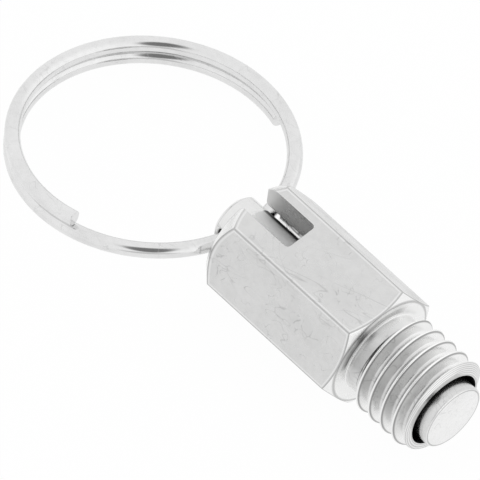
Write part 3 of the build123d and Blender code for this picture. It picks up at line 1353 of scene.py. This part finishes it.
@dataclass
class Coil:
    """A round wire wound along a helix that starts beside its axis and winds down it."""

    name: str
    body: str
    node: str
    metal: Metal
    wire_radius: float
    radius: float
    rise: float                             # down the axis, for each turn on average
    turns: float
    turns_before: float                     # turns before the point that lies at the given place
    offset: float                           # from that point to the wire, towards +X
    tilt: float                             # degrees about Y, before the roll
    roll: float                             # degrees about X
    place: tuple[float, float, float]
    yaw: float = 0.0                        # degrees about Z, before the tilt
    end_share: float = 0.001                # share of the turns in each end that lies closed
    end_rise: float = 0.001                 # share of the whole rise in each such end
    points: int = 420
    facets: int = 32
    end_bevel: float = 0.0

    def tree(self, material: bpy.types.Material) -> bpy.types.NodeTree:
        """Build the Geometry Nodes tree of the coil.

        Args:
            material: What the wire is made of.

        Returns:
            The tree.
        """
        group = NamedTree(
            f"{self.name}_coil", "GeometryNodeTree",
            {"Wire Radius": 1.0, "Radius": 10.0, "Rise": 2.0, "Turns": 2.0, "Turns Before": 0.0,
             "Offset": 0.0, "End Share": 0.001, "End Rise": 0.001, "Points": 200.0, "Facets": 24.0,
             "Lean": NOWHERE, "Place": NOWHERE, "Material": material},
            {"Mesh": "NodeSocketGeometry"},
        )
        graph, given = group.graph, group.given
        line = graph.out("GeometryNodeCurvePrimitiveLine", {"End": (1.0, 0.0, 0.0)})
        many = graph.out("GeometryNodeResampleCurve", {"Curve": line, "Count": given["Points"]})
        share = graph.out("GeometryNodeSplineParameter", output="Factor")
        angle = (share * given["Turns"] - given["Turns Before"]) * math.tau
        early, late, end_rise = given["End Share"], 1.0 - given["End Share"], given["End Rise"]
        climb = (graph.fit(share, 0.0, early, 0.0, end_rise)
                 + graph.fit(share, early, late, 0.0, 1.0 - end_rise * 2.0)
                 + graph.fit(share, late, 1.0, 0.0, end_rise))
        fall = climb * given["Turns"] - given["Turns Before"]
        sideways = given["Offset"] - given["Radius"] * (1.0 - graph.math("COSINE", angle))
        across = given["Radius"] * graph.math("SINE", angle) * -1.0
        leaning = graph.out("ShaderNodeVectorRotate", {
            "Vector": graph.join(sideways, across, fall * given["Rise"] * -1.0), "Rotation": given["Lean"],
        }, rotation_type="EULER_XYZ")
        there = graph.out("ShaderNodeVectorMath", {0: leaning, 1: given["Place"]})
        bent = graph.out("GeometryNodeSetPosition", {"Geometry": many, "Position": there})
        circle = graph.out("GeometryNodeCurvePrimitiveCircle", {
            "Resolution": given["Facets"], "Radius": given["Wire Radius"],
        })
        group.put_mesh(graph.out("GeometryNodeCurveToMesh", {
            "Curve": bent, "Profile Curve": circle, "Fill Caps": True,
        }))
        return group.tree

    def lean(self) -> tuple[float, float, float]:
        """Make one turn of the yaw, the tilt and then the roll.

        Returns:
            The turn's angles about X, Y and Z.
        """
        whole = Matrix.Identity(3)
        for angle, axis in ((self.roll, "X"), (self.tilt, "Y"), (self.yaw, "Z")):
            whole = whole @ Matrix.Rotation(math.radians(angle), 3, axis)
        return tuple(whole.to_euler("XYZ"))

    def build(self, materials: dict[Finish, bpy.types.Material]) -> bpy.types.Object:
        """Wind the wire, finish its ends and fix it to its body.

        Args:
            materials: The finished materials.

        Returns:
            The finished piece.
        """
        material = materials[self.metal.slot]
        wire = grown(self.name, self.tree(material), {
            "Wire Radius": self.wire_radius, "Radius": self.radius, "Rise": self.rise, "Turns": self.turns,
            "Turns Before": self.turns_before, "Offset": self.offset, "End Share": self.end_share,
            "End Rise": self.end_rise, "Points": float(self.points), "Facets": float(self.facets),
            "Lean": self.lean(), "Place": self.place, "Material": material,
        })
        if self.end_bevel:
            bevel = wire.modifiers.new("Bevel", "BEVEL")
            bevel.width, bevel.segments, bevel.angle_limit = self.end_bevel, 2, math.radians(60)
            settle(wire)
        return dress(smooth(wire, 50.0), material, self.body, self.node)


def dress(
    piece: bpy.types.Object, material: bpy.types.Material, body: str, node: str
) -> bpy.types.Object:
    """Give a finished piece its material and fix it to a body.

    Args:
        piece: The piece.
        material: Its material.
        body: The body that it rides on.
        node: The CAD node that it stands for.

    Returns:
        The same piece.
    """
    piece.data.materials.clear()
    piece.data.materials.append(material)
    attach(piece, body)
    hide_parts(node)
    return piece


SPLIT_RING = Coil(
    name="split_ring", body="pull_ring", node="ring", metal=POLISH,
    wire_radius=0.715 * MM, radius=12.5 * MM, rise=1.46 * MM, turns=1.584, turns_before=0.793,
    offset=0.12628 * MM, tilt=-5.43351, roll=-10.8, yaw=-2.6,
    place=(-17.4266 * MM, 0.0, 0.0), end_bevel=0.07 * MM,
)
PUSH_SPRING = Coil(
    name="push_spring", body="spring_seat", node="spring", metal=DRAWN,
    wire_radius=0.275 * MM, radius=3.025 * MM, rise=-5.9 / 7 * MM, turns=7.0, turns_before=0.0,
    offset=3.025 * MM, tilt=90.0, roll=0.0, place=(-6.65 * MM, 0.0, 0.0),
    end_share=1 / 7, end_rise=0.56 / 5.9, points=336, facets=14,
)


# ------------------------------------------------------------------------------------------ studio


@dataclass
class Studio:
    """The pale floor, the soft surroundings that light the bolt, and the camera."""

    floor_height: float = -5.55 * MM
    floor_reach: float = 900 * MM
    floor_color: float = 0.95
    floor_seen: float = 0.97                # how much of plain white the camera sees there
    floor_mirrored: float = 0.88            # how much of it the metal mirrors
    surround: float = 1.01
    front_glow: float = 0.14                # how much brighter the side ahead of the nose is
    front_way: tuple[float, float, float] = (0.93, 0.37, 0.0)
    dull_patch: float = 0.4                 # how much darker the room is low down, under the camera
    dull_way: tuple[float, float, float] = (0.74, -0.67, 0.06)
    card_depth: float = 0.8                 # how dark the card behind the camera is
    card_offset: float = 2.6                # degrees to the right of the camera
    card_wide: float = 14.0
    card_high: float = 30.0
    right: Vector = field(default_factory=lambda: Vector((0.6756, 0.7373, 0.0)))
    upward: Vector = field(default_factory=lambda: Vector((-0.6155, 0.5640, 0.5505)))
    back: Vector = field(default_factory=lambda: Vector((0.4059, -0.3719, 0.8348)))
    target: Vector = field(default_factory=lambda: Vector((-14.246, -3.513, 5.361)) * MM)
    distance: float = 1500 * MM
    seen_width: float = 41.9 * MM

    def floor(self) -> None:
        """Lay the pale floor that the bolt rests on."""
        reach = self.floor_reach
        corners = [(-reach, -reach), (reach, -reach), (reach, reach), (-reach, reach)]
        floor = piece_from("floor", [Vector((x, y, self.floor_height)) for x, y in corners], [(0, 1, 2, 3)])
        material = bpy.data.materials.new("pale_floor")
        material.use_nodes = True
        material.node_tree.nodes.clear()
        graph = Graph(material.node_tree)
        seen = graph.out("ShaderNodeLightPath", output="Is Camera Ray") * self.floor_seen
        mirrored = graph.out("ShaderNodeLightPath", output="Is Glossy Ray") * self.floor_mirrored
        matt = graph.out("ShaderNodeBsdfDiffuse", {"Color": (*[self.floor_color] * 3, 1.0)})
        glow = graph.out("ShaderNodeEmission", {"Color": WHITE, "Strength": 1.0})
        both = graph.out("ShaderNodeMixShader", {0: seen | mirrored, 1: matt, 2: glow})
        graph.add("ShaderNodeOutputMaterial", {"Surface": both})
        floor.data.materials.append(material)

    def surroundings(self) -> None:
        """Make the soft white surroundings, with the dark card that the camera looks through."""
        world = bpy.data.worlds.new("studio")
        bpy.context.scene.world = world
        world.use_nodes = True
        world.node_tree.nodes.clear()
        graph = Graph(world.node_tree)
        way = graph.out("ShaderNodeTexCoord", output="Generated")
        offset, wide, high = (
            math.sin(math.radians(angle)) for angle in (self.card_offset, self.card_wide, self.card_high)
        )
        reach = graph.hypot(
            (graph.dot(way, tuple(self.right)) - offset) / wide, graph.dot(way, tuple(self.upward)) / high,
        )
        card = graph.fit(reach, 0.75, 1.25, 1.0, 0.0, smooth=True) * (graph.dot(way, tuple(self.back)) > 0.0)
        ahead = graph.fit(graph.dot(way, self.front_way), 0.0, 0.9, 0.0, self.front_glow, smooth=True)
        dull = graph.fit(graph.dot(way, self.dull_way), 0.9, 0.98, 0.0, self.dull_patch, smooth=True)
        level = (ahead + self.surround - dull) * (1.0 - card * self.card_depth)
        level = level | graph.out("ShaderNodeLightPath", output="Is Camera Ray")
        shine = graph.out("ShaderNodeBackground", {"Color": WHITE, "Strength": level})
        graph.add("ShaderNodeOutputWorld", {"Surface": shine})

    def camera(self) -> None:
        """Set up the camera."""
        lens = bpy.data.cameras.new("camera")
        lens.sensor_width = 36.0
        lens.lens = lens.sensor_width * self.distance / self.seen_width
        lens.clip_start, lens.clip_end = 0.01, 20.0
        obj = bpy.data.objects.new("camera", lens)
        bpy.context.scene.collection.objects.link(obj)
        turn = Matrix((self.right, self.upward, self.back)).transposed().to_4x4()
        obj.matrix_world = Matrix.Translation(self.target + self.back * self.distance) @ turn
        bpy.context.scene.camera = obj

    def build(self) -> None:
        """Set up the floor, the surroundings and the camera."""
        self.floor()
        self.surroundings()
        self.camera()
        bpy.context.scene.view_settings.view_transform = "Standard"


def main() -> None:
    """Build the bolt and its studio."""
    logging.basicConfig(level=logging.INFO, format="%(message)s")
    bolt, plunger = HexBody(), Plunger()
    groups = {
        "scratches": scratch_group(), "crinkles": crinkle_group(), "edges": edge_group(),
        "body": BodyMarks(bolt).tree, "plunger": PlungerMarks().tree,
    }
    materials = {metal.slot: metal.build(groups) for metal in (PLATING, TURNING, POLISH, DRAWN)}
    pieces = [maker.build(materials) for maker in (bolt, plunger, SPLIT_RING, PUSH_SPRING)]
    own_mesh(pieces[-1])
    Studio().build()


if __name__ == "__main__":
    main()
